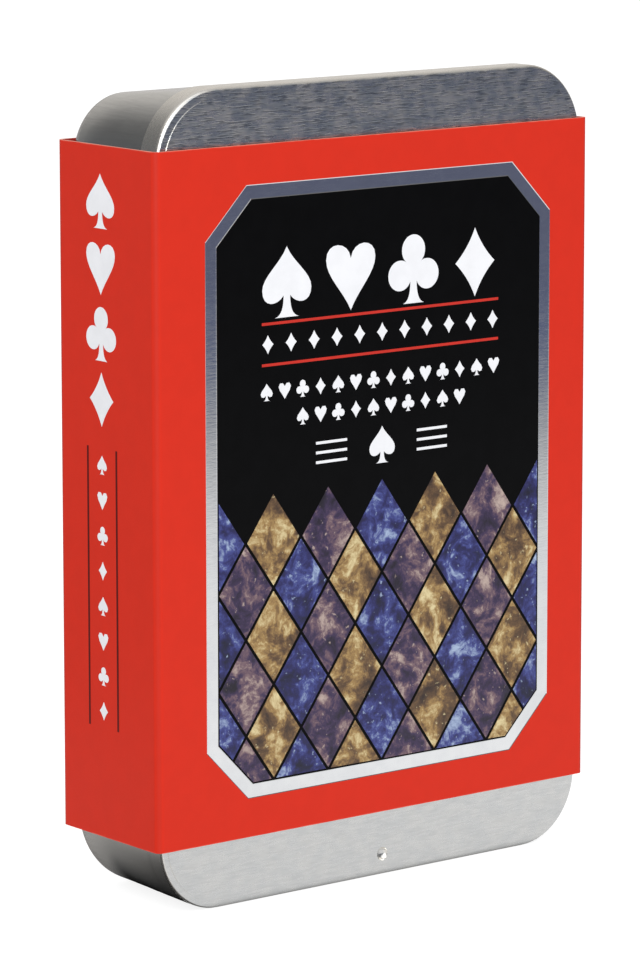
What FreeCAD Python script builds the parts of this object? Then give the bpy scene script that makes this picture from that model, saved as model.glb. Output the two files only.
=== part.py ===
import FreeCAD, Part
import Sketcher
import os
import re

# A full pack of playing cards in a sliding-lid tin, held shut by a card sleeve.
# The tin stands on its short lower end. X runs across the front, the front faces
# -Y and Z points up. The origin lies on the ground, under the middle of the sleeve.
# Lengths are in millimetres.

doc = FreeCAD.newDocument("card_tin")

# Two coordinates nearer than this count as the same.
NEAR = 1e-5

# The cards, from the one behind the lid to the one at the back of the tin.
SUITS = ("spades", "hearts", "clubs", "diamonds")
RANKS = ("ace", "two", "three", "four", "five", "six", "seven",
         "eight", "nine", "ten", "jack", "queen", "king")
CARD_NODES = [f"card_{rank}_of_{suit}" for suit in SUITS for rank in RANKS]
CARD_NODES += ["card_black_joker", "card_red_joker"]
CARD_COUNT = len(CARD_NODES)

# Every size that can be set by itself.
SIZES = {
    # One card, and the air between two cards
    "card_width": 63.0,
    "card_height": 88.0,
    "card_thickness": 0.29,
    "card_corner": 3.5,
    "card_air": 0.01,
    # Room around the stack of cards in the tin
    "deck_front_room": 1.24,
    "deck_back_room": 0.6,
    "deck_side_room": 0.5,
    "deck_corner_room": 0.15,
    "deck_top_room": 5.1,
    # Drawn pan: sheet, draft of its walls from front to back, corners seen from the front
    "pan_sheet": 0.25,
    "pan_draft": 1.4,
    "pan_corner": 8.9,
    "pan_low_corner_back": 10.4,
    "pan_back_radius": 1.8,
    # Sliding lid: sheet, skirt round three sides, lips that run in the pan's grooves
    "lid_sheet": 0.25,
    "lid_gap": 0.12,
    "rim_gap": 0.08,
    "lid_foot_gap": 0.1,
    "lid_bend": 0.7,
    "lid_border": 1.25,
    "lid_step": 0.08,
    "skirt_depth": 3.2,
    "skirt_margin": 0.6,
    "lip_length": 0.85,
    "lip_margin": 0.3,
    "groove_room": 0.15,
    "foot_bend": 0.35,
    # Dimple pressed into the lid near its plain lower edge
    "dimple_radius": 0.92,
    "dimple_rise": 0.36,
    "dimple_height": 2.6,
    "dimple_shift": 1.2,
    # Folded sleeve with a glue flap inside its back panel
    "sleeve_card": 0.4,
    "sleeve_height": 84.6,
    "sleeve_lift": 8.3,
    "sleeve_front_room": 0.25,
    "sleeve_back_room": 0.25,
    "sleeve_side_room": 0.08,
    "sleeve_front_fold": 0.9,
    "sleeve_back_fold": 1.1,
    "flap_fold": 0.6,
    "flap_width": 12.0,
    "flap_setback": 0.8,
    # Stamped foil frame, an upright octagon on the sleeve's front
    "foil_width": 56.0,
    "foil_height": 75.0,
    "foil_chamfer": 6.45,
    "foil_band": 1.75,
    "foil_shift": 0.5,
    "foil_thickness": 0.06,
    "foil_recess": 0.1,
    # How far a cutting shape runs past what it cuts
    "overrun": 1.0,
}

# Sizes and places worked out from those above, in the order they are needed.
DERIVED = {
    # Depths, from the front of the sleeve to its back
    "deck_depth": f"{CARD_COUNT} * card_thickness + {CARD_COUNT - 1} * card_air",
    "dimple_bump": "dimple_radius - dimple_rise",
    "tin_depth": "lid_sheet + dimple_bump + deck_front_room + deck_depth + deck_back_room + pan_sheet",
    "sleeve_inner_depth": "sleeve_front_room + tin_depth + sleeve_back_room + sleeve_card",
    "sleeve_depth": "sleeve_inner_depth + 2 * sleeve_card",
    "sleeve_front_y": "-sleeve_depth / 2",
    "sleeve_back_y": "sleeve_depth / 2",
    "flap_back_y": "sleeve_back_y - sleeve_card",
    "flap_front_y": "flap_back_y - sleeve_card",
    "lid_front_y": "sleeve_front_y + sleeve_card + sleeve_front_room",
    "lid_inner_y": "lid_front_y + lid_sheet",
    "bend_inner": "lid_bend - lid_sheet",
    "bend_clear": "max(0; (bend_inner - rim_gap) ^ 2 - (bend_inner - lid_gap) ^ 2)",
    "rim_y": "lid_inner_y + bend_inner - sqrt(bend_clear)",
    "skirt_back_y": "lid_front_y + skirt_depth",
    "lip_front_y": "skirt_back_y - lid_sheet",
    "pan_back_y": "lid_front_y + tin_depth",
    "pan_floor_y": "pan_back_y - pan_sheet",
    "deck_back_y": "pan_floor_y - deck_back_room",
    "draft_rate": "pan_draft / (pan_back_y - rim_y)",
    # How far the round back edge of the pan comes in at the rearmost card
    "floor_radius": "pan_back_radius - pan_sheet",
    "floor_shortfall": "max(0; floor_radius - deck_back_room)",
    "floor_inset": "floor_radius - sqrt(floor_radius ^ 2 - floor_shortfall ^ 2)",
    # Half widths, from the cards outwards
    "deck_wall_half": "card_width / 2 + deck_side_room",
    "pan_back_half": "deck_wall_half + floor_inset + pan_sheet",
    "pan_half": "pan_back_half + pan_draft",
    "lid_half": "pan_half + lid_gap + lid_sheet",
    "lip_half": "lid_half - lid_sheet - lip_length",
    "panel_half": "lid_half - lid_border",
    "panel_inset": "pan_half - panel_half",
    "groove_half": "lip_half - groove_room",
    "sleeve_rate": "pan_draft / sleeve_inner_depth",
    "sleeve_inner_half": "lid_half + sleeve_side_room + sleeve_rate * (sleeve_front_room + skirt_depth)",
    "sleeve_half": "sleeve_inner_half + sleeve_card + sleeve_rate * sleeve_card",
    "sleeve_back_half": "sleeve_half - sleeve_rate * sleeve_depth",
    # The lowest place where the cards' round corners rest on the pan's rounder ones
    "low_corner_inner": "pan_low_corner_back - pan_sheet - floor_inset",
    "corner_reach": "low_corner_inner - card_corner - deck_corner_room",
    "corner_offset": "card_width / 2 - card_corner - (deck_wall_half - low_corner_inner)",
    "corner_drop": "sqrt(corner_reach ^ 2 - corner_offset ^ 2)",
    "deck_low_z": "pan_sheet + floor_inset + low_corner_inner - card_corner - corner_drop",
    # Heights, from the cards upwards
    "pan_back_top": "deck_low_z + card_height + deck_top_room + pan_sheet",
    "pan_top": "pan_back_top + pan_draft",
    "lid_top": "pan_top + lid_gap + lid_sheet",
    "lid_corner": "pan_corner + lid_gap + lid_sheet",
    "skirt_low_z": "pan_corner + skirt_margin",
    "lip_low_z": "skirt_low_z + lip_margin",
    "lip_top_z": "lid_top - lid_corner - lip_margin",
    "groove_low_z": "lip_low_z - groove_room",
    # Foil frame
    "foil_back_y": "sleeve_front_y + foil_recess",
    "foil_centre_z": "sleeve_lift + sleeve_height / 2",
    "foil_inner_chamfer": "foil_chamfer - foil_band * (2 - sqrt(2))",
}


# Sheets

def formula(text):
    """Point each size named in a formula at the cell that holds it."""
    def cell_of(match):
        name = match.group(0)
        if name in SIZES:
            return f"Sizes.{name}"
        return f"Derived.{name}" if name in DERIVED else name
    return re.sub(r"[a-z_]+", cell_of, text)


def fill_sheet(label, cells, as_text):
    sheet = doc.addObject("Spreadsheet::Sheet", label)
    for row, (name, content) in enumerate(cells.items(), start=1):
        sheet.set(f"A{row}", name)
        sheet.set(f"B{row}", as_text(content))
        sheet.setAlias(f"B{row}", name)
    return sheet


sizes_sheet = fill_sheet("Sizes", SIZES, str)
derived_sheet = fill_sheet("Derived", DERIVED, lambda text: "=" + formula(text))
doc.recompute()


def size(name):
    """The value of one cell, for what can't be bound to it."""
    sheet = sizes_sheet if name in SIZES else derived_sheet
    return float(sheet.get(name))


def bind(feature, **formulas):
    for name, text in formulas.items():
        feature.setExpression(name.replace("__", "."), formula(text))


# Building blocks

def block(name, x, y, z):
    """A box between two formulas along each axis."""
    box = doc.addObject("Part::Box", name)
    bind(box, Length=f"({x[1]}) - ({x[0]})", Width=f"({y[1]}) - ({y[0]})",
         Height=f"({z[1]}) - ({z[0]})")
    bind(box, Placement__Base__x=x[0], Placement__Base__y=y[0], Placement__Base__z=z[0])
    doc.recompute()
    return box


def drafted_block(name, y, half, back_half, low, top, back_top):
    """A block whose sides and top close in from the front to the back."""
    wedge = doc.addObject("Part::Wedge", name)
    bind(wedge, Ymin=y[0], Ymax=y[1])
    bind(wedge, Xmin=f"-({half})", Xmax=half, X2min=f"-({back_half})", X2max=back_half)
    bind(wedge, Zmin=low, Z2min=low, Zmax=top, Z2max=back_top)
    doc.recompute()
    return wedge


def ends(edge):
    return edge.valueAt(edge.FirstParameter), edge.valueAt(edge.LastParameter)


def runs_along(edge, axis):
    """True for a straight edge that runs mainly along one axis."""
    start, finish = ends(edge)
    steps = {a: abs(getattr(finish, a) - getattr(start, a)) for a in "xyz"}
    return steps[axis] > NEAR and steps[axis] == max(steps.values())


def lies_at(edge, axis, place):
    """True for an edge whose whole length has one coordinate."""
    points = [*ends(edge), edge.valueAt((edge.FirstParameter + edge.LastParameter) / 2)]
    return all(abs(getattr(p, axis) - place) < NEAR for p in points)


def rounded(name, base, radius_of, kind="Part::Fillet"):
    """Round, or chamfer, each edge that radius_of gives a pair of radii for."""
    feature = doc.addObject(kind, name)
    feature.Base = base
    marked = []
    for number, edge in enumerate(base.Shape.Edges, start=1):
        radii = radius_of(edge)
        if radii:
            marked.append((number, *radii))
    feature.Edges = marked
    doc.recompute()
    return feature


def combine(kind, name, base, tool):
    feature = doc.addObject(kind, name)
    feature.Base = base
    feature.Tool = tool
    doc.recompute()
    return feature


def cut(name, base, tool):
    return combine("Part::Cut", name, base, tool)


def fuse(name, base, tool):
    return combine("Part::Fuse", name, base, tool)


def shared(name, base, tool):
    return combine("Part::Common", name, base, tool)


# Pan of the tin

def pan_solid(name, y, half, back_half, low, top, back_top, sheet):
    """The pan's outside, or its inside when the sheet's thickness is taken off its radii."""
    raw = drafted_block(f"{name}_block", y, half, back_half, low, top, back_top)
    middle = (size("deck_low_z") + size("pan_top")) / 2
    front = size("pan_corner") - sheet
    top_back = front - size("pan_draft")
    low_back = size("pan_low_corner_back") - sheet

    def corner_radii(edge):
        if not runs_along(edge, "y"):
            return None
        start, finish = ends(edge)
        back = top_back if start.z > middle else low_back
        return (front, back) if start.y < finish.y else (back, front)

    corners = rounded(f"{name}_corners", raw, corner_radii)
    back_y = raw.Ymax.Value
    back_radius = size("pan_back_radius") - sheet
    return rounded(name, corners, lambda edge: (back_radius,) * 2
                   if lies_at(edge, "y", back_y) else None)


def make_tin_body():
    outside = pan_solid("pan_outside", ("rim_y", "pan_back_y"), "pan_half", "pan_back_half",
                        "0", "pan_top", "pan_back_top", 0)
    inside = pan_solid("pan_inside", ("rim_y - overrun", "pan_floor_y"),
                       "pan_half + draft_rate * overrun - pan_sheet",
                       "pan_back_half + draft_rate * pan_sheet - pan_sheet",
                       "pan_sheet",
                       "pan_top + draft_rate * overrun - pan_sheet",
                       "pan_back_top + draft_rate * pan_sheet - pan_sheet",
                       size("pan_sheet"))
    body = cut("pan_shell", outside, inside)
    # A groove pressed into each long side takes the lid's lips. It runs out over the upper corner.
    for side, sign in (("left", "-"), ("right", "")):
        inner, outer = f"{sign}(groove_half - pan_sheet)", f"{sign}(pan_half + overrun)"
        bottom = f"{sign}groove_half"
        x_ridge = (outer, inner) if sign else (inner, outer)
        x_groove = (outer, bottom) if sign else (bottom, outer)
        ridge = block(f"{side}_ridge_block", x_ridge,
                      ("lip_front_y - groove_room - pan_sheet", "skirt_back_y + groove_room + pan_sheet"),
                      ("groove_low_z - pan_sheet", "pan_top"))
        body = fuse(f"pan_{side}_ridge", body, shared(f"{side}_ridge", ridge, outside))
        groove = block(f"{side}_groove", x_groove,
                       ("lip_front_y - groove_room", "skirt_back_y + groove_room"),
                       ("groove_low_z", "pan_top + overrun"))
        body = cut(f"pan_{side}_groove", body, groove)
    return body


# Lid of the tin

def skirted_block(name, x_half, y, z, corner, bend):
    """A block with round upper corners and a rounded front edge along its sides and top."""
    raw = block(f"{name}_block", (f"-({x_half})", x_half), y, z)
    middle = (size("skirt_low_z") + size("lid_top")) / 2
    upper = rounded(f"{name}_corners", raw, lambda edge: (corner,) * 2
                    if runs_along(edge, "y") and ends(edge)[0].z > middle else None)
    front_y = raw.Placement.Base.y
    low_z = raw.Placement.Base.z

    def bend_radii(edge):
        if lies_at(edge, "y", front_y) and not lies_at(edge, "z", low_z):
            return bend, bend
        return None

    return rounded(name, upper, bend_radii)


def foot_plate(name, inset, y, top):
    """The lid's outline below its skirt, as a plate with round lower corners."""
    half = f"(pan_half - {inset})"
    raw = block(f"{name}_block", (f"-{half}", half), y, (f"lid_foot_gap + {inset}", top))
    corner = size("pan_corner") - size("lid_foot_gap") - (size(inset) if inset in SIZES else 0)
    return rounded(name, raw, lambda edge: (corner,) * 2
                   if runs_along(edge, "y") and ends(edge)[0].z < size("pan_corner") / 2 else None)


def make_lid_foot():
    """Below the skirt the lid is flush with the pan, and a narrow return closes it onto the rim."""
    plate = foot_plate("lid_foot_plate", "0", ("lid_front_y", "rim_y - rim_gap"), "skirt_low_z")
    front_y, top_z = size("lid_front_y"), size("skirt_low_z")
    bend = size("foot_bend")
    bent = rounded("lid_foot_bent", plate, lambda edge: (bend,) * 2
                   if lies_at(edge, "y", front_y) and not lies_at(edge, "z", top_z) else None)
    hollow = foot_plate("lid_foot_hollow", "lid_sheet", ("lid_inner_y", "rim_y"), "skirt_low_z + overrun")
    return cut("lid_foot", bent, hollow)


def make_lid_border():
    """What is cut from the front so that the panel stands one small step proud of its border."""
    front = block("lid_front_slab", ("-(lid_half + overrun)", "lid_half + overrun"),
                  ("lid_front_y - overrun", "lid_front_y + lid_step"), ("-overrun", "lid_top + overrun"))
    raw = block("lid_panel_block", ("-panel_half", "panel_half"),
                ("lid_front_y - 2 * overrun", "lid_front_y + lid_step + overrun"),
                ("lid_foot_gap + panel_inset", "lid_top - lid_border"))
    upper = size("lid_corner") - size("lid_border")
    lower = size("pan_corner") - size("lid_foot_gap") - size("panel_inset")

    def corner_radii(edge):
        if not runs_along(edge, "y"):
            return None
        return (upper,) * 2 if ends(edge)[0].z > size("lid_corner") else (lower,) * 2

    return cut("lid_border_ring", front, rounded("lid_panel", raw, corner_radii))


def make_tin_lid():
    sheet = size("lid_sheet")
    outside = skirted_block("lid_outside", "lid_half", ("lid_front_y", "skirt_back_y"),
                            ("skirt_low_z", "lid_top"), size("lid_corner"), size("lid_bend"))
    inside = skirted_block("lid_inside", "lid_half - lid_sheet", ("lid_inner_y", "skirt_back_y + overrun"),
                           ("skirt_low_z - overrun", "lid_top - lid_sheet"),
                           size("lid_corner") - sheet, size("lid_bend") - sheet)
    lid = cut("lid_shell", outside, inside)
    lid = fuse("lid_plate", lid, make_lid_foot())
    lid = cut("lid_stepped", lid, make_lid_border())
    for side, x in (("left", ("-(lid_half - lid_sheet / 2)", "-lip_half")),
                    ("right", ("lip_half", "lid_half - lid_sheet / 2"))):
        lip = block(f"lid_{side}_lip", x, ("lip_front_y", "skirt_back_y"), ("lip_low_z", "lip_top_z"))
        lid = fuse(f"lid_with_{side}_lip", lid, lip)
    return make_dimple(lid)


def make_dimple(lid):
    """Press a round dimple into the lid, with the sheet bulging on the inside."""
    def ball(name, radius):
        sphere = doc.addObject("Part::Sphere", name)
        bind(sphere, Radius=radius)
        bind(sphere, Placement__Base__x="dimple_shift",
             Placement__Base__y="lid_front_y - dimple_rise",
             Placement__Base__z="lid_foot_gap + dimple_height")
        doc.recompute()
        return sphere

    reach = "dimple_radius + lid_sheet + overrun"
    behind = block("dimple_behind", (f"dimple_shift - ({reach})", f"dimple_shift + {reach}"),
                   ("lid_inner_y - lid_sheet / 2", f"lid_inner_y + {reach}"),
                   (f"dimple_height - ({reach})", f"dimple_height + {reach}"))
    bulge = shared("dimple_bulge", ball("dimple_outer_ball", "dimple_radius + lid_sheet"), behind)
    bulged = fuse("lid_bulged", lid, bulge)
    return cut("lid_dimpled", bulged, ball("dimple_inner_ball", "dimple_radius"))


# Sleeve

def make_octagon(name, inset, y):
    """An upright octagon of the foil frame, as a plate between two depths."""
    half_width, half_height = f"(foil_width / 2 - {inset})", f"(foil_height / 2 - {inset})"
    raw = block(f"{name}_block", (f"foil_shift - {half_width}", f"foil_shift + {half_width}"), y,
                (f"foil_centre_z - {half_height}", f"foil_centre_z + {half_height}"))
    chamfer = size("foil_chamfer") if inset == "0" else size("foil_inner_chamfer")
    return rounded(name, raw, lambda edge: (chamfer,) * 2 if runs_along(edge, "y") else None,
                   kind="Part::Chamfer")


def make_ring(name, y):
    past = (f"{y[0]} - overrun", f"{y[1]} + overrun")
    outer = make_octagon(f"{name}_outer", "0", y)
    return cut(name, outer, make_octagon(f"{name}_inner", "foil_band", past))


def folded_block(name, y, half, back_half, low, top, front_fold, back_fold):
    """A drafted block with its four upright edges rounded as folds."""
    raw = drafted_block(f"{name}_block", y, half, back_half, low, top, top)

    def fold_radii(edge):
        if not runs_along(edge, "z"):
            return None
        radius = front_fold if ends(edge)[0].y < 0 else back_fold
        return radius, radius

    return rounded(name, raw, fold_radii)


def make_sleeve():
    card = size("sleeve_card")
    top = "sleeve_lift + sleeve_height"
    outside = folded_block("sleeve_outside", ("sleeve_front_y", "sleeve_back_y"),
                           "sleeve_half", "sleeve_back_half", "sleeve_lift", top,
                           size("sleeve_front_fold"), size("sleeve_back_fold"))
    inside = folded_block("sleeve_inside", ("sleeve_front_y + sleeve_card", "flap_back_y"),
                          "sleeve_inner_half", "sleeve_inner_half - sleeve_rate * sleeve_inner_depth",
                          "sleeve_lift - overrun", f"{top} + overrun",
                          size("sleeve_front_fold") - card, size("sleeve_back_fold") - card)
    tube = cut("sleeve_tube", outside, inside)
    # The glue flap folds in from the right side and lies inside the back panel.
    flap_block = block("flap_block", ("sleeve_back_half - flap_width", "sleeve_half"),
                       ("flap_front_y", "flap_back_y"), ("sleeve_lift", top))
    flapped = fuse("sleeve_flapped", tube, shared("flap", flap_block, outside))
    # The back panel stops short of the right fold, so the flap's own fold shows beside it.
    setback = block("seam_block", ("sleeve_back_half - flap_setback", "sleeve_half + overrun"),
                    ("flap_back_y", "sleeve_back_y + overrun"), ("sleeve_lift - overrun", f"{top} + overrun"))
    seamed = cut("sleeve_seamed", flapped, setback)
    fold_x = size("sleeve_back_half") - size("flap_setback") / 2
    fold = size("flap_fold")

    def flap_fold_radii(edge):
        at_flap = runs_along(edge, "z") and lies_at(edge, "y", size("flap_back_y"))
        return (fold, fold) if at_flap and ends(edge)[0].x > fold_x else None

    folded = rounded("sleeve_folded", seamed, flap_fold_radii)
    recess = make_ring("foil_seat", ("sleeve_front_y - overrun", "foil_back_y"))
    return cut("sleeve_recessed", folded, recess)


def make_foil_frame():
    return make_ring("foil_ring", ("foil_back_y - foil_thickness", "foil_back_y"))


# Cards

def make_card(node, place):
    """One card: a rectangle padded to the card's thickness, with its corners rounded."""
    body = doc.addObject("PartDesign::Body", f"{node}_body")
    upright = next(plane for plane in body.Origin.OriginFeatures if plane.Role == "XZ_Plane")
    sketch = body.newObject("Sketcher::SketchObject", f"{node}_outline")
    sketch.AttachmentSupport = [(upright, "")]
    sketch.MapMode = "FlatFace"
    half, height = size("card_width") / 2, size("card_height")
    outline = ((-half, 0), (half, 0), (half, height), (-half, height))
    corners = [FreeCAD.Vector(x, z, 0) for x, z in outline]
    for number, corner in enumerate(corners):
        sketch.addGeometry(Part.LineSegment(corner, corners[(number + 1) % 4]))
    for number in range(4):
        sketch.addConstraint(Sketcher.Constraint("Coincident", number, 2, (number + 1) % 4, 1))
        sketch.addConstraint(Sketcher.Constraint("Horizontal" if number % 2 == 0 else "Vertical", number))
    sketch.addConstraint(Sketcher.Constraint("Symmetric", 0, 1, 0, 2, -1, 1))
    width = sketch.addConstraint(Sketcher.Constraint("DistanceX", 0, 1, 0, 2, 2 * half))
    tall = sketch.addConstraint(Sketcher.Constraint("DistanceY", 1, 1, 1, 2, height))
    sketch.setExpression(f"Constraints[{width}]", formula("card_width"))
    sketch.setExpression(f"Constraints[{tall}]", formula("card_height"))
    pad = body.newObject("PartDesign::Pad", f"{node}_pad")
    pad.Profile = sketch
    bind(pad, Length="card_thickness")
    doc.recompute()
    fillet = body.newObject("PartDesign::Fillet", f"{node}_corners")
    fillet.Base = (pad, [f"Edge{number}" for number, edge in enumerate(pad.Shape.Edges, start=1)
                         if runs_along(edge, "y")])
    bind(fillet, Radius="card_corner")
    bind(body, Placement__Base__z="deck_low_z",
         Placement__Base__y=f"deck_back_y - {place} * (card_thickness + card_air)")
    return body


# Assembly

nodes = {
    "tin_body": make_tin_body(),
    "tin_lid": make_tin_lid(),
    "sleeve": make_sleeve(),
    "foil_frame": make_foil_frame(),
}
for place, node in enumerate(reversed(CARD_NODES)):
    nodes[node] = make_card(node, place)
doc.recompute()

for node, feature in nodes.items():
    feature.Label = node
for feature in doc.Objects:
    if {"Invalid", "Error"} & set(feature.State):
        raise RuntimeError(f"{feature.Name} failed: {feature.State}")
for node, feature in nodes.items():
    if feature.Shape.isNull() or not feature.Shape.isValid() or len(feature.Shape.Solids) != 1:
        raise RuntimeError(f"{node} isn't one sound solid")

os.makedirs("parts", exist_ok=True)
for node, feature in nodes.items():
    feature.Shape.exportStep(f"parts/{node}.step")
print(f"{len(nodes)} pieces")
print(f"tin {2 * size('lid_half'):.2f} x {size('tin_depth'):.2f} x {size('lid_top'):.2f} mm")
print(f"sleeve {2 * size('sleeve_half'):.2f} x {size('sleeve_depth'):.2f} mm")
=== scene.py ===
# %% [markdown]
# # A deck of playing cards in a tin
# The object is a flat tinplate tin that stands on its short end. Its lid slides upwards, a printed
# card sleeve is pushed over it, and a full deck of cards waits inside. The solid shapes come from
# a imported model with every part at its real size, so this lesson only adds what makes them look
# real: camera, light, finishes, print and the faces of the cards. Everything is in metres.

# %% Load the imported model
import math

import bmesh
import bpy
from mathutils import Matrix, Quaternion, Vector


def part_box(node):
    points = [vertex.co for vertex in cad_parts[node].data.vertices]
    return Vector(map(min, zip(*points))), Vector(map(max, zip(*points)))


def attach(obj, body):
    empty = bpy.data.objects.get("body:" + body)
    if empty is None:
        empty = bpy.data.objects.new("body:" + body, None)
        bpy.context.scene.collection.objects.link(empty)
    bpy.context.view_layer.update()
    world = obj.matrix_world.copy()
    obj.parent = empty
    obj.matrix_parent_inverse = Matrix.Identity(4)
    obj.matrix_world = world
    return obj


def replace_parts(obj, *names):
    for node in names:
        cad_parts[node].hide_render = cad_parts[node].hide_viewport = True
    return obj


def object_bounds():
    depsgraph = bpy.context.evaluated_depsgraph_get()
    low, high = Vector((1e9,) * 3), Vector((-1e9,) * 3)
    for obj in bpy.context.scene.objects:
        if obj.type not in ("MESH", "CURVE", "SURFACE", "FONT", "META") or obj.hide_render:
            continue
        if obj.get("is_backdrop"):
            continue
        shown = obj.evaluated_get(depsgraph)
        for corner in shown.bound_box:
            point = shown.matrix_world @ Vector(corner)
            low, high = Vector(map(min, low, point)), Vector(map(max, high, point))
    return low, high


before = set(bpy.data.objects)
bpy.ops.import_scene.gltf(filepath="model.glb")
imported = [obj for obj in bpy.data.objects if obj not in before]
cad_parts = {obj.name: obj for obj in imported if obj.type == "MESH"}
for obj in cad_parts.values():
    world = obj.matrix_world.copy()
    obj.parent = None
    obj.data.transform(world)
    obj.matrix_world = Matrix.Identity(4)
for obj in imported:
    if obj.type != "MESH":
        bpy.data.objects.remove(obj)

cad_low, cad_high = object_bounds()
scene = bpy.context.scene
MM = 0.001
print("parts:", len(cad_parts), "box:", [round(side / MM, 2) for side in cad_high - cad_low], "mm")

# %% [markdown]
# ## The camera
# The photograph was taken with a long lens from the front left, a little above the tin. A camera
# can be placed by eye, but here it is aimed by two angles, a target and a distance, which are easy
# to read and to change. A long lens keeps the upright edges almost parallel. The lens is given in
# pixels of the photograph first, because that is how it was measured.

# %% Aim the camera
PHOTO_HEIGHT = 965
FOCAL_PIXELS = 5166
CAMERA_YAW = math.radians(40.5)
CAMERA_PITCH = math.radians(9.28)
CAMERA_ROLL = math.radians(-0.04)
CAMERA_TARGET = Vector((-9.55, -10.4, 50.9)) * MM
CAMERA_DISTANCE = 630.3 * MM

camera_data = bpy.data.cameras.new("photo_camera")
camera_data.lens = FOCAL_PIXELS * camera_data.sensor_width / PHOTO_HEIGHT
camera = bpy.data.objects.new("photo_camera", camera_data)
scene.collection.objects.link(camera)
scene.camera = camera

view_line = Vector((
    math.sin(CAMERA_YAW) * math.cos(CAMERA_PITCH),
    math.cos(CAMERA_YAW) * math.cos(CAMERA_PITCH),
    -math.sin(CAMERA_PITCH),
))
camera.location = CAMERA_TARGET - view_line * CAMERA_DISTANCE
camera.rotation_mode = "QUATERNION"
camera.rotation_quaternion = view_line.to_track_quat("-Z", "Y") @ Quaternion((0, 0, 1), CAMERA_ROLL)
scene.view_settings.view_transform = "Standard"
print("lens:", round(camera_data.lens, 1), "mm, camera at", [round(c, 3) for c in camera.location])

# %% [markdown]
# ## Helpers for node graphs
# A finish is a graph of nodes. These helpers make one node each and fill its sockets, with a value
# or with a link, so a graph reads from its coordinates at the top to its shader at the bottom.

# %% Helpers for nodes
def node(tree, kind, inputs=None, **settings):
    """Add a node, set its properties, and fill each named socket with a value or a link."""
    made = tree.nodes.new(kind)
    for name, value in settings.items():
        setattr(made, name, value)
    for socket, value in (inputs or {}).items():
        if isinstance(value, bpy.types.NodeSocket):
            tree.links.new(value, made.inputs[socket])
        else:
            made.inputs[socket].default_value = value
    return made


def calc(tree, operation, first, second=0.0):
    """One step of arithmetic on numbers or links."""
    return node(tree, "ShaderNodeMath", {0: first, 1: second}, operation=operation).outputs[0]


def steer(tree, operation, first, second=(0, 0, 0)):
    """One step of arithmetic on vectors. A dot product gives a number, the others a vector."""
    made = node(tree, "ShaderNodeVectorMath", {0: first, 1: second}, operation=operation)
    return made.outputs["Value" if operation == "DOT_PRODUCT" else "Vector"]


def span(tree, value, start, end, low=0.0, high=1.0):
    """Turn a stretch of one value into a stretch of another, with soft ends."""
    sockets = {0: value, 1: start, 2: end, 3: low, 4: high}
    return node(tree, "ShaderNodeMapRange", sockets, interpolation_type="SMOOTHSTEP").outputs[0]


def blend(tree, share, first, second, mode="MIX"):
    """Mix two colours by a share from 0 to 1."""
    sockets = {0: share, 6: first, 7: second}
    return node(tree, "ShaderNodeMix", sockets, data_type="RGBA", blend_type=mode).outputs[2]


def ramp(tree, value, *stops):
    """Run a value from 0 to 1 through a row of (place, colour) stops."""
    made = node(tree, "ShaderNodeValToRGB", {0: value})
    points = made.color_ramp.elements
    for point, (place, tint) in zip((points[0], points[1]), (stops[0], stops[-1])):
        point.position = place
        point.color = tint
    for place, tint in stops[1:-1]:
        points.new(place).color = tint
    return made.outputs[0]


def object_place(tree):
    """The point on the surface, in metres, in the frame that all parts share."""
    return node(tree, "ShaderNodeTexCoord").outputs["Object"]


def colour(red, green, blue):
    """A colour picked on a screen, from 0 to 255, as the linear values that a shader mixes."""
    def linear(level):
        share = level / 255
        return share / 12.92 if share <= 0.04045 else ((share + 0.055) / 1.055) ** 2.4
    return (linear(red), linear(green), linear(blue), 1.0)


def dimmed(tint, share):
    """A colour made darker by a share."""
    return tuple((1 - share) * part for part in tint[:3]) + (1.0,)


def grey(level, warmth=0.0):
    """A linear grey that leans to warm or, below zero, to blue."""
    return (level * (1 + warmth), level, level * (1 - warmth), 1.0)


# %% [markdown]
# ## The set
# A product on white paper needs very little: a pale floor, soft light from all round and one or two
# large lamps. Bare metal is the hard part, because it shows the room instead of its own colour. So
# the set also has a ceiling and a floor that only reflections can see, like the cloths and cards that
# a photographer hangs round a shiny product. They are mostly dim, with a bright pool in front of the
# tin and one bright patch overhead. Round the tin's foot that floor is painted almost black, a painted
# shadow that the metal reflects. The background stays white.

# %% White background and ambient light
AMBIENT = 0.82


def seen_rays(tree):
    """1 where a ray comes from the camera, a reflection or a clear surface, and 0 for soft light."""
    ray = node(tree, "ShaderNodeLightPath")
    seen = calc(tree, "ADD", ray.outputs["Is Camera Ray"], ray.outputs["Is Glossy Ray"])
    seen = calc(tree, "ADD", seen, ray.outputs["Is Transmission Ray"])
    return calc(tree, "MINIMUM", seen, 1.0)


world = bpy.data.worlds.new("studio_air")
world.use_nodes = True
world.cycles.sampling_method = "NONE"
scene.world = world
air = world.node_tree
air.nodes.clear()
ambient = node(air, "ShaderNodeBackground", {"Color": (1, 1, 1, 1), "Strength": AMBIENT})
backdrop = node(air, "ShaderNodeBackground", {"Color": (1, 1, 1, 1), "Strength": 1.0})
sockets = {0: seen_rays(air), 1: ambient.outputs[0], 2: backdrop.outputs[0]}
choice = node(air, "ShaderNodeMixShader", sockets)
node(air, "ShaderNodeOutputWorld", {"Surface": choice.outputs[0]})
print("ambient light:", AMBIENT)

# %% The table top
TABLE_RADIUS = 3.0
TABLE_GLOW = 0.86
TABLE_COLOUR = (0.28, 0.28, 0.28, 1)


def bare_material(name):
    """A material with an empty graph, for the set."""
    material = bpy.data.materials.new(name)
    material.use_nodes = True
    material.cycles.emission_sampling = "NONE"
    material.node_tree.nodes.clear()
    return material, material.node_tree


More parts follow.
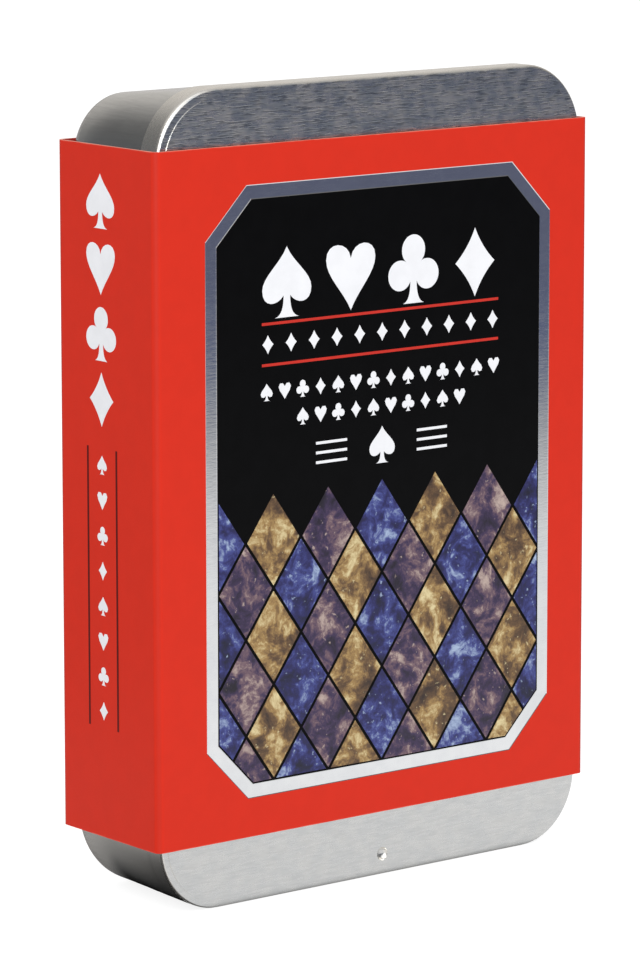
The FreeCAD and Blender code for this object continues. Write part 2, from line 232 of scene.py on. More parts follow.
def add_stage(name, mesh_data, material, only_reflections=False):
    """An object of the set, which isn't part of the product."""
    mesh = bpy.data.meshes.new(name)
    mesh_data.to_mesh(mesh)
    mesh_data.free()
    mesh.materials.append(material)
    prop = bpy.data.objects.new(name, mesh)
    scene.collection.objects.link(prop)
    if only_reflections:
        prop.visible_camera = False
        prop.visible_diffuse = False
        prop.visible_shadow = False
        prop.visible_transmission = False
    prop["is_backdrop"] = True
    print(name, "faces:", len(mesh.polygons))


paper, tree = bare_material("table_paper")
glow_level = calc(tree, "MULTIPLY", seen_rays(tree), TABLE_GLOW)
glow = node(tree, "ShaderNodeEmission", {"Color": (1, 1, 1, 1), "Strength": glow_level})
matt = node(tree, "ShaderNodeBsdfDiffuse", {"Color": TABLE_COLOUR})
both = node(tree, "ShaderNodeAddShader", {0: glow.outputs[0], 1: matt.outputs[0]})
node(tree, "ShaderNodeOutputMaterial", {"Surface": both.outputs[0]})

shape = bmesh.new()
bmesh.ops.create_circle(shape, cap_ends=True, segments=96, radius=TABLE_RADIUS)
add_stage("table_top", shape, paper)

# %% The floor that the metal sees
FLOOR_LIFT = 0.05 * MM
POOL_AIM = (0.56, -0.83, 0)
POOL_REACH = 0.6
SHADE_REACH = 0.1
FOOT_HALF = Vector((25, 4, 0)) * MM
REAR_AIM = (0.25, 0.97, 0)
REAR_BASE = 0.5
REAR_GAIN = 1.5
REAR_TIGHTNESS = 3.0
REAR_FROM = -6 * MM
REAR_TO = 20 * MM
REAR_LEVELS = (0.35, 2.5)
FRONT_SOFTNESS = 2 * MM
CONTACT_SHADOW_REACH = 1 * MM
CONTACT_SHADOW_LEVEL = 0.5
DIM_BLUE = (0.09, 0.113, 0.212, 1)
DIM_GREY = (0.11, 0.12, 0.176, 1)

floor_light, tree = bare_material("reflected_floor")
place = object_place(tree)
axes = node(tree, "ShaderNodeSeparateXYZ", {0: place})
ahead = calc(tree, "DIVIDE", steer(tree, "DOT_PRODUCT", place, POOL_AIM), POOL_REACH)
pool = ramp(tree, ahead, (0.0, grey(0.84)), (0.05, grey(0.86)), (0.13, grey(0.95)),
            (0.41, grey(0.8)), (0.62, grey(0.38)), (0.8, DIM_BLUE), (0.97, DIM_GREY))
# Painted shadow: close to the tin's foot, the floor that only reflections see runs from almost black to
# dim.
beside = calc(tree, "SUBTRACT", calc(tree, "ABSOLUTE", axes.outputs["X"]), FOOT_HALF.x)
behind = calc(tree, "SUBTRACT", calc(tree, "ABSOLUTE", axes.outputs["Y"]), FOOT_HALF.y)
apart = calc(tree, "DIVIDE", calc(tree, "MAXIMUM", beside, behind), SHADE_REACH)
shade = ramp(tree, apart, (0.0, grey(0.006)), (0.03, grey(0.012)), (0.045, grey(0.1)),
             (0.08, grey(0.26, 0.03)), (0.17, grey(0.31, 0.04)), (0.6, grey(0.3, 0.03)),
             (1.0, grey(0.077, 0.02)))
in_front = span(tree, axes.outputs["Y"], cad_low.y + FRONT_SOFTNESS, cad_low.y)
shown = blend(tree, in_front, shade, pool)
rearward = steer(tree, "DOT_PRODUCT", steer(tree, "NORMALIZE", place), REAR_AIM)
rearward = calc(tree, "POWER", calc(tree, "MAXIMUM", rearward, 0.0), REAR_TIGHTNESS)
rear_light = calc(tree, "ADD", calc(tree, "MULTIPLY", rearward, REAR_GAIN), REAR_BASE)
rear_rise = span(tree, axes.outputs["Y"], REAR_FROM, REAR_TO, *REAR_LEVELS)
rear_light = calc(tree, "MULTIPLY", rear_light, rear_rise)
# Painted shadow: the bright pool is dimmed just in front of the tin's foot.
contact_shadow = span(tree, axes.outputs["Y"], cad_low.y, cad_low.y - CONTACT_SHADOW_REACH, CONTACT_SHADOW_LEVEL, 1.0)
front_light = calc(tree, "MULTIPLY", in_front, contact_shadow)
strength = calc(tree, "MAXIMUM", rear_light, front_light)
light = node(tree, "ShaderNodeEmission", {"Color": shown, "Strength": strength})
node(tree, "ShaderNodeOutputMaterial", {"Surface": light.outputs[0]})

shape = bmesh.new()
bmesh.ops.create_circle(shape, cap_ends=True, segments=96, radius=TABLE_RADIUS / 2,
                        matrix=Matrix.Translation((0, 0, FLOOR_LIFT)))
add_stage("reflected_floor", shape, floor_light, only_reflections=True)

# %% The ceiling that the metal sees
WARM_AIM = (0.64, 0.75, 0.16)
WARM_SPREAD = (0.52, 1.0)
WARM_LIGHT = (0.56, 0.53, 0.49, 1)
BRIGHT_AIM = (-0.15, -0.52, 0.84)
BRIGHT_SPREAD = (0.78, 0.92)
BRIGHT_LIGHT = grey(1.3)

ceiling_light, tree = bare_material("reflected_ceiling")
aim = steer(tree, "NORMALIZE", object_place(tree))
height = node(tree, "ShaderNodeSeparateXYZ", {0: aim}).outputs["Z"]
upward = ramp(tree, height, (0.0, DIM_GREY), (0.2, grey(0.15, -0.05)), (0.45, grey(0.155)),
              (0.64, grey(0.2)), (0.71, grey(0.43, 0.03)), (0.8, grey(0.56, 0.03)), (1.0, grey(0.6)))
warm = span(tree, steer(tree, "DOT_PRODUCT", aim, WARM_AIM), *WARM_SPREAD)
bright = span(tree, steer(tree, "DOT_PRODUCT", aim, BRIGHT_AIM), *BRIGHT_SPREAD)
shown = blend(tree, bright, blend(tree, warm, upward, WARM_LIGHT, "ADD"), BRIGHT_LIGHT)
light = node(tree, "ShaderNodeEmission", {"Color": shown, "Strength": 1.0})
node(tree, "ShaderNodeOutputMaterial", {"Surface": light.outputs[0]})

shape = bmesh.new()
bmesh.ops.create_uvsphere(shape, u_segments=64, v_segments=32, radius=TABLE_RADIUS / 2)
bmesh.ops.bisect_plane(shape, geom=shape.verts[:] + shape.edges[:] + shape.faces[:],
                       plane_co=(0, 0, 0), plane_no=(0, 0, -1), clear_outer=True)
add_stage("reflected_ceiling", shape, ceiling_light, only_reflections=True)

# %% Two large soft lamps
def add_lamp(name, power, width, height, place, in_reflections):
    """A flat lamp that points at the middle of the tin."""
    lamp_data = bpy.data.lights.new(name, "AREA")
    lamp_data.shape = "RECTANGLE"
    lamp_data.energy = power
    lamp_data.size = width
    lamp_data.size_y = height
    lamp = bpy.data.objects.new(name, lamp_data)
    scene.collection.objects.link(lamp)
    lamp.location = place
    lamp.rotation_mode = "QUATERNION"
    lamp.rotation_quaternion = (CAMERA_TARGET - lamp.location).to_track_quat("-Z", "Y")
    lamp.visible_glossy = in_reflections
    print(name, power, "W")


add_lamp("key_lamp", power=3.9, width=0.7, height=0.7, place=(0.55, -0.9, 0.85), in_reflections=False)
add_lamp("side_lamp", power=10.3, width=0.5, height=1.1, place=(-0.78, -0.72, 0.7), in_reflections=True)

# %% [markdown]
# ## Shared effects
# Some effects belong to more than one finish: the marks that rolling and brushing leave in tinplate,
# and the tooth of paper. Each is a node group, built once and used with other values in each finish.
# A noise that is stretched along one axis makes streaks, because it changes slowly that way. Most of
# a noise lies between 0.3 and 0.7, so that range is what the finishes spread over their values.

# %% Groups for brush marks and paper
def new_group(name, inputs, outputs):
    """A node group with named sockets, and the nodes that stand for its two ends."""
    tree = bpy.data.node_groups.new(name, "ShaderNodeTree")
    for label, kind in inputs.items():
        tree.interface.new_socket(label, in_out="INPUT", socket_type=kind)
    for label in outputs:
        tree.interface.new_socket(label, in_out="OUTPUT", socket_type="NodeSocketFloat")
    return tree, node(tree, "NodeGroupInput"), node(tree, "NodeGroupOutput")


NOISE_RANGE = (0.3, 0.7)
DASH_SHIFT = (7.3, 2.1, 5.9)
DASH_RANGE = (0.5, 0.64)
PATCHES = 420.0
GRAINS = 5200.0


def noise(tree, place, scale, detail=3.0, roughness=0.55):
    """A soft random value from 0 to 1."""
    sockets = {"Vector": place, "Scale": scale, "Detail": detail, "Roughness": roughness}
    return node(tree, "ShaderNodeTexNoise", sockets).outputs[0]


PLACE = {"Vector": "NodeSocketVector"}
brush_marks, given, result = new_group(
    "brush_marks", PLACE | {"Stretch": "NodeSocketVector"}, ("Streak", "Dash", "Cloud"))
stretched = steer(brush_marks, "DIVIDE", given.outputs["Vector"], given.outputs["Stretch"])
shifted = steer(brush_marks, "ADD", stretched, DASH_SHIFT)
dash = span(brush_marks, noise(brush_marks, shifted, 1.7, 1.0), *DASH_RANGE)
for socket, value in (("Streak", noise(brush_marks, stretched, 1.3, 3.0, 0.6)), ("Dash", dash),
                      ("Cloud", noise(brush_marks, given.outputs["Vector"], PATCHES, 2.0))):
    brush_marks.links.new(value, result.inputs[socket])

paper_tooth, given, result = new_group("paper_tooth", PLACE, ("Grain", "Mottle"))
for socket, value in (("Grain", noise(paper_tooth, given.outputs["Vector"], GRAINS, 2.0)),
                      ("Mottle", noise(paper_tooth, given.outputs["Vector"], PATCHES, 4.0))):
    paper_tooth.links.new(value, result.inputs[socket])
print("groups:", [group.name for group in bpy.data.node_groups])


# %% Helpers for finishes
def new_material(name):
    """A material with a Principled shader, ready for its graph."""
    material = bpy.data.materials.new(name)
    material.use_nodes = True
    return material, material.node_tree, material.node_tree.nodes["Principled BSDF"]


def wire(tree, shader, **links):
    """Link values to the shader's sockets, named with underscores for spaces."""
    for name, value in links.items():
        tree.links.new(value, shader.inputs[name.replace("_", " ")])


def bumped(tree, height, depth, strength):
    """Normals that rise and fall with a height, where depth is in metres."""
    sockets = {"Height": height, "Distance": depth, "Strength": strength}
    return node(tree, "ShaderNodeBump", sockets).outputs[0]


def dress(node_name, material):
    """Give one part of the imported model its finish."""
    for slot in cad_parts[node_name].material_slots:
        slot.material = material


# %% [markdown]
# ## Tinplate
# The pan is pressed from a sheet of tinplate, so it has a satin shine with faint lines round its wall.
# The lid is brushed along its width. Its face shows short dark dashes and paler streaks, each a few
# millimetres long and only a hair thick. Both are metals, so their colour is the colour of the
# reflection, and the streaks change the roughness and the bump as well as the tint. The dashes lie
# on the lid's face only and show less towards its lower end, as in the photograph. The lid's skirt
# and bends take the pale tint all over, a painted brightness. A dark line of painted shade on the pan
# follows the edge of the lid's skirt, and fades downwards in the same way. The reflections on the
# pan's side walls look as if the walls curved a little towards the back. The solid's walls are
# flat, so only their normal leans.

# %% Pan and lid
LOW_MARKS = 0.12
# Dark tint of the lid's dashes, and of the painted shade line on the pan behind the lid's skirt.
SCORE_AND_GAP_SHADE = (0.13, 0.135, 0.14, 1)
STREAK_DEPTH = 0.2
PATCH_DEPTH = 0.5
METAL_RELIEF = 0.03 * MM
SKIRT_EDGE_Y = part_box("tin_lid")[1].y
GAP_SHADE_WIDTH = 0.4 * MM


def tinplate(name, stretch, dark, pale, roughness, spread, dash_depth, bump, bulge, gap_shade_depth):
    """A metal with streaks that follow the stretch, given in millimetres along X, Y and Z."""
    material, tree, shader = new_material(name)
    shader.inputs["Metallic"].default_value = 1.0
    place = object_place(tree)
    axes = node(tree, "ShaderNodeSeparateXYZ", {0: place})
    marks = node(tree, "ShaderNodeGroup", {"Vector": place, "Stretch": Vector(stretch) * MM},
                 node_tree=brush_marks).outputs
    fade = span(tree, axes.outputs["Z"], cad_low.z, cad_high.z, LOW_MARKS, 1.0)
    normal = node(tree, "ShaderNodeNewGeometry").outputs["Normal"]
    facing = node(tree, "ShaderNodeSeparateXYZ", {0: normal})
    front_face = span(tree, facing.outputs["Y"], -0.6, -0.95)
    on_front = calc(tree, "MULTIPLY", fade, front_face)
    dash = calc(tree, "MULTIPLY", calc(tree, "MULTIPLY", marks["Dash"], dash_depth), on_front)
    patch = span(tree, marks["Cloud"], 0.35, 0.65, -PATCH_DEPTH, PATCH_DEPTH)
    patch = calc(tree, "MULTIPLY", patch, on_front)
    # Painted brightness: faces that don't look forward, such as the lid's skirt, take the pale tint all
    # over.
    patches_and_side_light = calc(tree, "ADD", patch, span(tree, front_face, 0.0, 1.0, 1.0, PATCH_DEPTH))
    patched_and_side_lit = blend(tree, patches_and_side_light, dark, pale)
    streak = calc(tree, "MULTIPLY", span(tree, marks["Streak"], *NOISE_RANGE, STREAK_DEPTH, 0.0), fade)
    streaked = blend(tree, streak, patched_and_side_lit, grey(0.5), "MULTIPLY")
    # Painted shade: a dark band on the pan just behind the edge of the lid's skirt, fading towards the
    # lower end.
    gap_shade = calc(tree, "MULTIPLY", span(tree, axes.outputs["Y"], SKIRT_EDGE_Y + GAP_SHADE_WIDTH, SKIRT_EDGE_Y),
                   span(tree, axes.outputs["Y"], SKIRT_EDGE_Y - 2 * GAP_SHADE_WIDTH, SKIRT_EDGE_Y - GAP_SHADE_WIDTH))
    scored_and_shaded = blend(tree, dash, streaked, SCORE_AND_GAP_SHADE)
    gap_shade = calc(tree, "MULTIPLY", gap_shade, fade)
    scored_and_shaded = blend(tree, calc(tree, "MULTIPLY", gap_shade, gap_shade_depth), scored_and_shaded, SCORE_AND_GAP_SHADE)
    rough = span(tree, marks["Streak"], 0.25, 0.75, roughness + spread, roughness - spread)
    sideways = calc(tree, "ABSOLUTE", facing.outputs["X"])
    lean = calc(tree, "MULTIPLY", sideways, span(tree, axes.outputs["Y"], 0.0, cad_high.y, 0.0, bulge))
    turned = steer(tree, "ADD", normal, node(tree, "ShaderNodeCombineXYZ", {"Y": lean}).outputs[0])
    height = calc(tree, "SUBTRACT", marks["Streak"], dash)
    sockets = {"Height": height, "Distance": METAL_RELIEF, "Strength": calc(tree, "MULTIPLY", fade, bump),
               "Normal": steer(tree, "NORMALIZE", turned)}
    rise = node(tree, "ShaderNodeBump", sockets).outputs[0]
    wire(tree, shader, Base_Color=scored_and_shaded, Roughness=rough, Normal=rise)
    return material


dress("tin_lid", tinplate("brushed_tinplate", (3.2, 0.34, 0.34), dark=(0.55, 0.58, 0.61, 1),
                          pale=(0.87, 0.845, 0.8, 1), roughness=0.29, spread=0.06, dash_depth=0.42,
                          bump=0.6, bulge=0.0, gap_shade_depth=0.0))
dress("tin_body", tinplate("satin_tinplate", (6.0, 6.0, 0.35), dark=(0.56, 0.56, 0.56, 1),
                           pale=(0.6, 0.6, 0.59, 1), roughness=0.24, spread=0.015, dash_depth=0.0,
                           bump=0.02, bulge=0.25, gap_shade_depth=0.75))
print("tinplate on:", "tin_lid, tin_body")

# %% [markdown]
# ## The card sleeve
# The sleeve is printed board, folded round the tin and glued. Red ink covers the outside, the inside
# is a duller red, and the cut edges show the pale core. All of it is one solid, so the finish finds
# out where it is: a face whose normal points at the middle of the tin is inside, a face that looks
# up or down is a cut edge, and a fold is where the normal turns between two sides. The folds are
# painted a little darker, a painted shade.

# %% Printed red board
sleeve_low, sleeve_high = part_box("sleeve")
RED_INK = colour(216, 42, 19)
RED_INK_WORN = colour(232, 92, 74)
INSIDE = colour(176, 46, 38)
CUT_EDGE = colour(222, 150, 134)
EDGE_WEAR = 0.16 * MM
FOLD_SHADE = 0.22
BARE_ROUGHNESS = 0.3
PAPER_RELIEF = 0.01 * MM

red_card, tree, shader = new_material("red_card")
shader.inputs["Specular IOR Level"].default_value = 0.3
place = object_place(tree)
normal = node(tree, "ShaderNodeNewGeometry").outputs["Normal"]
turned = node(tree, "ShaderNodeSeparateXYZ", {0: normal})
tooth = node(tree, "ShaderNodeGroup", {"Vector": place}, node_tree=paper_tooth).outputs
inked = blend(tree, span(tree, tooth["Mottle"], *NOISE_RANGE), RED_INK, dimmed(RED_INK, 0.035))
across = calc(tree, "MULTIPLY", turned.outputs["X"], turned.outputs["Y"])
folded = span(tree, calc(tree, "ABSOLUTE", across), 0.25, 0.5)
level = node(tree, "ShaderNodeSeparateXYZ", {0: place}).outputs["Z"]
to_edge = calc(tree, "MINIMUM", calc(tree, "SUBTRACT", sleeve_high.z, level),
               calc(tree, "SUBTRACT", level, sleeve_low.z))
rubbed = span(tree, to_edge, EDGE_WEAR, 0.0)
wear = calc(tree, "MULTIPLY", rubbed, span(tree, tooth["Mottle"], 0.35, 0.6))
# Painted shade: the red is darkened along the folds.
fold_shaded = blend(tree, calc(tree, "MULTIPLY", folded, FOLD_SHADE), inked, (0.5, 0.5, 0.5, 1), "MULTIPLY")
worn = blend(tree, wear, fold_shaded, RED_INK_WORN)
outward = steer(tree, "DOT_PRODUCT", normal, steer(tree, "MULTIPLY", place, (1, 1, 0)))
inner = calc(tree, "LESS_THAN", outward, 0.0)
cut_edge = calc(tree, "GREATER_THAN", calc(tree, "ABSOLUTE", turned.outputs["Z"]), 0.5)
bare = calc(tree, "MAXIMUM", inner, cut_edge)
fibres = blend(tree, cut_edge, INSIDE, CUT_EDGE)
board = blend(tree, tooth["Grain"], fibres, (0.8, 0.8, 0.8, 1), "MULTIPLY")
rough = span(tree, tooth["Grain"], *NOISE_RANGE, 0.4, 0.48)
rough = calc(tree, "ADD", rough, calc(tree, "MULTIPLY", bare, BARE_ROUGHNESS))
wire(tree, shader, Base_Color=blend(tree, bare, worn, board), Roughness=rough,
     Normal=bumped(tree, tooth["Grain"], PAPER_RELIEF, 0.25))
dress("sleeve", red_card)
print("sleeve from", round(sleeve_low.z / MM, 1), "to", round(sleeve_high.z / MM, 1), "mm")


# %% [markdown]
# ## Helpers for flat shapes
# Foil and ink are flat shapes on the sleeve or on a card. Each one is drawn lying down, in its own
# small plane, then set upright against the part that carries it. A film of ink is a real closed
# solid here, a hundredth of a millimetre thick, so it survives in any program that opens the mesh.

# %% Helpers for pieces and films
def upright(right, centre):
    """Stand a flat drawing on a side: its X follows right, its Y points up and its Z faces out."""
    right = Vector(right).normalized()
    up = Vector((0, 0, 1))
    turn = Matrix((right, up, right.cross(up))).transposed()
    return Matrix.Translation(centre) @ turn.to_4x4()


def add_piece(name, mesh_data, body, slot, *materials):
    """Turn a bmesh into an object at the origin that moves with one body of the model."""
    mesh = bpy.data.meshes.new(name)
    mesh_data.to_mesh(mesh)
    mesh_data.free()
    piece = bpy.data.objects.new(name, mesh)
    scene.collection.objects.link(piece)
    for material in materials:
        mesh.materials.append(material)
    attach(piece, body)
    print(name, "faces:", len(mesh.polygons))
    return piece


def verts_of(geometry):
    """The points among the parts that an operator made."""
    return [part for part in geometry if isinstance(part, bmesh.types.BMVert)]


def thicken(shape, bottom, top):
    """Make closed solids of all the flat faces, from one height to another."""
    bmesh.ops.translate(shape, verts=shape.verts[:], vec=(0, 0, bottom))
    raised = bmesh.ops.extrude_face_region(shape, geom=shape.faces[:])["geom"]
    bmesh.ops.translate(shape, verts=verts_of(raised), vec=(0, 0, top - bottom))
    bmesh.ops.recalc_face_normals(shape, faces=shape.faces[:])


def cut_cornered(shape, half_width, half_height, corner):
    """A flat rectangle with its corners cut off."""
    verts = bmesh.ops.create_grid(shape, x_segments=1, y_segments=1, size=1.0)["verts"]
    bmesh.ops.scale(shape, verts=verts, vec=(half_width, half_height, 1))
    bmesh.ops.bevel(shape, geom=verts, offset=corner, offset_type="OFFSET", affect="VERTICES",
                    segments=1, profile=0.5, material=-1)


# %% [markdown]
# ## The stamped foil frame
# Bright foil is pressed into the board by a hot die. The die leaves the foil a little below the
# sleeve's face, with a narrow slope along both edges that catches the light. The ring starts as one
# rectangle with cut corners, and three insets make the outer slope, the flat and the inner slope.

# %% Foil frame
foil_low, foil_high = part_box("foil_frame")
foil_half = (foil_high - foil_low) / 2
foil_centre = (foil_high + foil_low) / 2
FRONT_Y = sleeve_low.y
FOIL_BAND = 1.75 * MM
FOIL_CORNER = 6.45 * MM
FOIL_SLOPE = 0.09 * MM
FOIL_STRETCH = Vector((1.6, 1.6, 0.25)) * MM
FOIL_SINK = foil_low.y - FRONT_Y
FOIL_SEAT = foil_high.y - FRONT_Y
front_plane = upright((1, 0, 0), (foil_centre.x, FRONT_Y, foil_centre.z))

shape = bmesh.new()
cut_cornered(shape, foil_half.x, foil_half.z, FOIL_CORNER)
middle = shape.faces[:]
for width, rise in ((FOIL_SLOPE, -FOIL_SINK), (FOIL_BAND - 2 * FOIL_SLOPE, 0.0), (FOIL_SLOPE, FOIL_SINK)):
    bmesh.ops.inset_region(shape, faces=middle, thickness=width, depth=rise,
                           use_boundary=True, use_even_offset=True)
bmesh.ops.delete(shape, geom=middle, context="FACES")
back = verts_of(bmesh.ops.extrude_face_region(shape, geom=shape.faces[:])["geom"])
for vert in back:
    vert.co.z = -FOIL_SEAT
bmesh.ops.recalc_face_normals(shape, faces=shape.faces[:])
bmesh.ops.transform(shape, matrix=front_plane, verts=shape.verts[:])

foil, tree, shader = new_material("bright_foil")
shader.inputs["Metallic"].default_value = 1.0
sockets = {"Vector": object_place(tree), "Stretch": FOIL_STRETCH}
marks = node(tree, "ShaderNodeGroup", sockets, node_tree=brush_marks).outputs
tint = blend(tree, span(tree, marks["Cloud"], *NOISE_RANGE), (0.8, 0.81, 0.83, 1), (0.85, 0.86, 0.87, 1))
rough = span(tree, marks["Streak"], *NOISE_RANGE, 0.07, 0.15)
wire(tree, shader, Base_Color=tint, Roughness=rough,
     Normal=bumped(tree, marks["Streak"], PAPER_RELIEF, 0.5))
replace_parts(add_piece("stamped_foil", shape, "sleeve", "foil", foil), "foil_frame")


# %% [markdown]
# ## Ink
# Printed ink is a thin even film, but never perfectly flat in colour: the paper under it shows
# through as a fine grain and a soft mottle. One function makes every ink from its colour.

# %% Inks
def ink(name, tint, roughness, mottle=0.1, gloss=0.3):
    """An ink whose tint wanders a little and that shows the tooth of the paper."""
    material, tree, shader = new_material(name)
    shader.inputs["Specular IOR Level"].default_value = gloss
    tooth = node(tree, "ShaderNodeGroup", {"Vector": object_place(tree)}, node_tree=paper_tooth).outputs
    rough = span(tree, tooth["Grain"], *NOISE_RANGE, roughness, roughness + 0.08)
    mottled = blend(tree, span(tree, tooth["Mottle"], *NOISE_RANGE), tint, dimmed(tint, mottle))
    wire(tree, shader, Base_Color=mottled, Roughness=rough,
         Normal=bumped(tree, tooth["Grain"], PAPER_RELIEF, 0.15))
    return material


black_ink = ink("black_ink", colour(6, 6, 7), 0.36, 0.3, gloss=0.08)
white_ink = ink("white_ink", colour(243, 244, 248), 0.42, 0.05)
rule_ink = ink("rule_ink", colour(206, 48, 36), 0.42)
dark_red_ink = ink("dark_red_ink", colour(92, 14, 14), 0.42)

# %% The black panel inside the foil
FILM = 0.015 * MM
FILM_GAP = 0.002 * MM
panel_half = (foil_half.x - FOIL_BAND, foil_half.z - FOIL_BAND)
PANEL_CORNER = FOIL_CORNER - FOIL_BAND * (2 - math.sqrt(2))

shape = bmesh.new()
cut_cornered(shape, *panel_half, PANEL_CORNER)
thicken(shape, FILM_GAP, FILM)
bmesh.ops.transform(shape, matrix=front_plane, verts=shape.verts[:])
add_piece("black_panel", shape, "sleeve", "sleeve_card", black_ink)


# %% [markdown]
# ## Suit pips
# The four suits are the oldest ornaments of playing cards. Each is a smooth outline with a few
# sharp points, so a Bezier curve suits it better than a polygon. Only the right half is drawn, from
# top to bottom, as anchors with the handles before and after them. The left half is its mirror
# image. A pip is one unit tall and is scaled where it is used.

# %% Outlines of the pips
HALF_PIPS = {
    "heart": (
        ((0, 0.24), (0, 0.24), (0.04, 0.5)), ((0.46, 0.24), (0.46, 0.52), (0.46, 0.0)),
        ((0, -0.5), (0.14, -0.22), (0, -0.5)),
    ),
    "diamond": (
        ((0, 0.5), (0, 0.5), (0.1, 0.28)), ((0.38, 0), (0.24, 0.12), (0.24, -0.12)),
        ((0, -0.5), (0.1, -0.28), (0, -0.5)),
    ),
    "spade": (
        ((0, 0.5), (0, 0.5), (0.12, 0.26)), ((0.45, -0.1), (0.45, 0.1), (0.45, -0.34)),
        ((0.06, -0.19), (0.18, -0.34), (0.06, -0.36)), ((0.22, -0.5), (0.1, -0.48), (0.1, -0.5)),
    ),
    "club": (
        ((0, 0.49), (0, 0.49), (0.12, 0.49)), ((0.22, 0.27), (0.22, 0.39), (0.22, 0.18)),
        ((0.13, 0.09), (0.18, 0.13), (0.17, 0.12)), ((0.26, 0.13), (0.2, 0.13), (0.38, 0.13)),
        ((0.48, -0.09), (0.48, 0.03), (0.48, -0.21)), ((0.26, -0.31), (0.38, -0.31), (0.16, -0.31)),
        ((0.06, -0.18), (0.09, -0.25), (0.06, -0.36)), ((0.2, -0.5), (0.1, -0.48), (0.1, -0.5)),
    ),
}


def mirrored(anchor):
    """An anchor of the left half, which the curve passes the other way."""
    point, before, after = [(-x, y) for x, y in anchor]
    return point, after, before


def filled(curve):
    """The flat mesh inside a curve or a text."""
    drawing = bpy.data.objects.new("drawing", curve)
    mesh = bpy.data.meshes.new_from_object(drawing)
    bpy.data.objects.remove(drawing)
    return mesh


def pip_mesh(half, steps):
    """The filled outline of one pip, with a number of steps from anchor to anchor."""
    whole = list(half)
    for anchor in reversed(half):
        if anchor[0][0]:
            whole.append(mirrored(anchor))
    whole[0] = (half[0][0], mirrored(half[0])[1], half[0][2])
    if not half[-1][0][0]:
        whole[len(half) - 1] = (half[-1][0], half[-1][1], mirrored(half[-1])[2])
    curve = bpy.data.curves.new("pip", "CURVE")
    curve.dimensions = "2D"
    curve.fill_mode = "FRONT"
    spline = curve.splines.new("BEZIER")
    spline.use_cyclic_u = True
    spline.resolution_u = steps
    spline.bezier_points.add(len(whole) - 1)
    for knot, (point, before, after) in zip(spline.bezier_points, whole):
        knot.handle_left_type = knot.handle_right_type = "FREE"
        knot.co = (*point, 0)
        knot.handle_left = (*before, 0)
        knot.handle_right = (*after, 0)
    return filled(curve)


pips = {suit: pip_mesh(half, steps=8) for suit, half in HALF_PIPS.items()}
small_pips = {suit: pip_mesh(half, steps=3) for suit, half in HALF_PIPS.items()}
print("faces of a pip:", {suit: len(mesh.polygons) for suit, mesh in pips.items()})


# %% Helpers that add to a drawing
WELD = 0.001 * MM


def stamp(shape, mesh, x, y, height, turn=0.0):
    """Copy a flat mesh into a drawing at a place, with its height and turn."""
    start = len(shape.verts)
    shape.from_mesh(mesh)
    shape.verts.ensure_lookup_table()
    place = Matrix.Translation((x, y, 0)) @ Matrix.Rotation(turn, 4, "Z") @ Matrix.Scale(height, 4)
    bmesh.ops.transform(shape, matrix=place, verts=shape.verts[start:])


def bar(shape, x, y, width, height):
    """Add a straight bar or rule to a drawing."""
    verts = bmesh.ops.create_grid(shape, x_segments=1, y_segments=1, size=0.5)["verts"]
    bmesh.ops.scale(shape, verts=verts, vec=(width, height, 1))
    bmesh.ops.translate(shape, verts=verts, vec=(x, y, 0))


def evenly(count, width):
    """Places for a row of things, centred on zero."""
    return [width * (index / (count - 1) - 0.5) for index in range(count)]


def print_on(name, shape, plane, body, slot, material, level=1):
    """Turn a drawing into ink films on a side, where level counts the inks below."""
    bmesh.ops.remove_doubles(shape, verts=shape.verts[:], dist=WELD)
    thicken(shape, level * FILM + FILM_GAP, (level + 1) * FILM)
    bmesh.ops.transform(shape, matrix=plane, verts=shape.verts[:])
    return add_piece(name, shape, body, slot, material)


# %% [markdown]
# ## Print on the front
# The front is laid out on the black panel: a row of large pips, two thin red rules with small
# lozenges between them, two lines of tiny pips, and a spade between short white bars.

# %% White and red print on the front
SUITS = ("spade", "heart", "club", "diamond")
LARGE_PIP_LEVEL = 76.0
LARGE_PIP_SIZE = 8.6 * MM
LARGE_PIP_SPREAD = 30.6 * MM
SMALL_ROW_LEVEL = 68.6
SMALL_ROW_SIZE = 2.3 * MM
SMALL_ROW_COUNT = 11
SMALL_ROW_SPREAD = 36.6 * MM
TINY_ROWS = ((62.8, 14, 37 * MM), (59.4, 10, 25.6 * MM))
TINY_PIP_SIZE = 2.1 * MM
SPADE_LEVEL = 54.6
SPADE_SIZE = 4.6 * MM
BAR_OFFSET = 8.2 * MM
BAR_PITCH = 1.2 * MM
BAR_LENGTH = 5.0 * MM
RULE_WIDTH = 38.5 * MM
RULE_THICKNESS = 0.34 * MM
RULE_LEVELS = (71.1, 66.1)


def front(height_above_floor):
    """A height above the table, in millimetres, as a height above the foil's centre."""
    return height_above_floor * MM - foil_centre.z


shape = bmesh.new()
for suit, x in zip(SUITS, evenly(len(SUITS), LARGE_PIP_SPREAD)):
    stamp(shape, pips[suit], x, front(LARGE_PIP_LEVEL), LARGE_PIP_SIZE)
for x in evenly(SMALL_ROW_COUNT, SMALL_ROW_SPREAD):
    stamp(shape, small_pips["diamond"], x, front(SMALL_ROW_LEVEL), SMALL_ROW_SIZE)
for level, count, width in TINY_ROWS:
    for index, x in enumerate(evenly(count, width)):
        stamp(shape, small_pips[SUITS[index % len(SUITS)]], x, front(level), TINY_PIP_SIZE)
stamp(shape, pips["spade"], 0, front(SPADE_LEVEL), SPADE_SIZE)
for side in (-1, 1):
    for step in (-1, 0, 1):
        bar(shape, side * BAR_OFFSET, front(SPADE_LEVEL) + step * BAR_PITCH, BAR_LENGTH, RULE_THICKNESS)
print_on("front_white_print", shape, front_plane, "sleeve", "sleeve_card", white_ink)

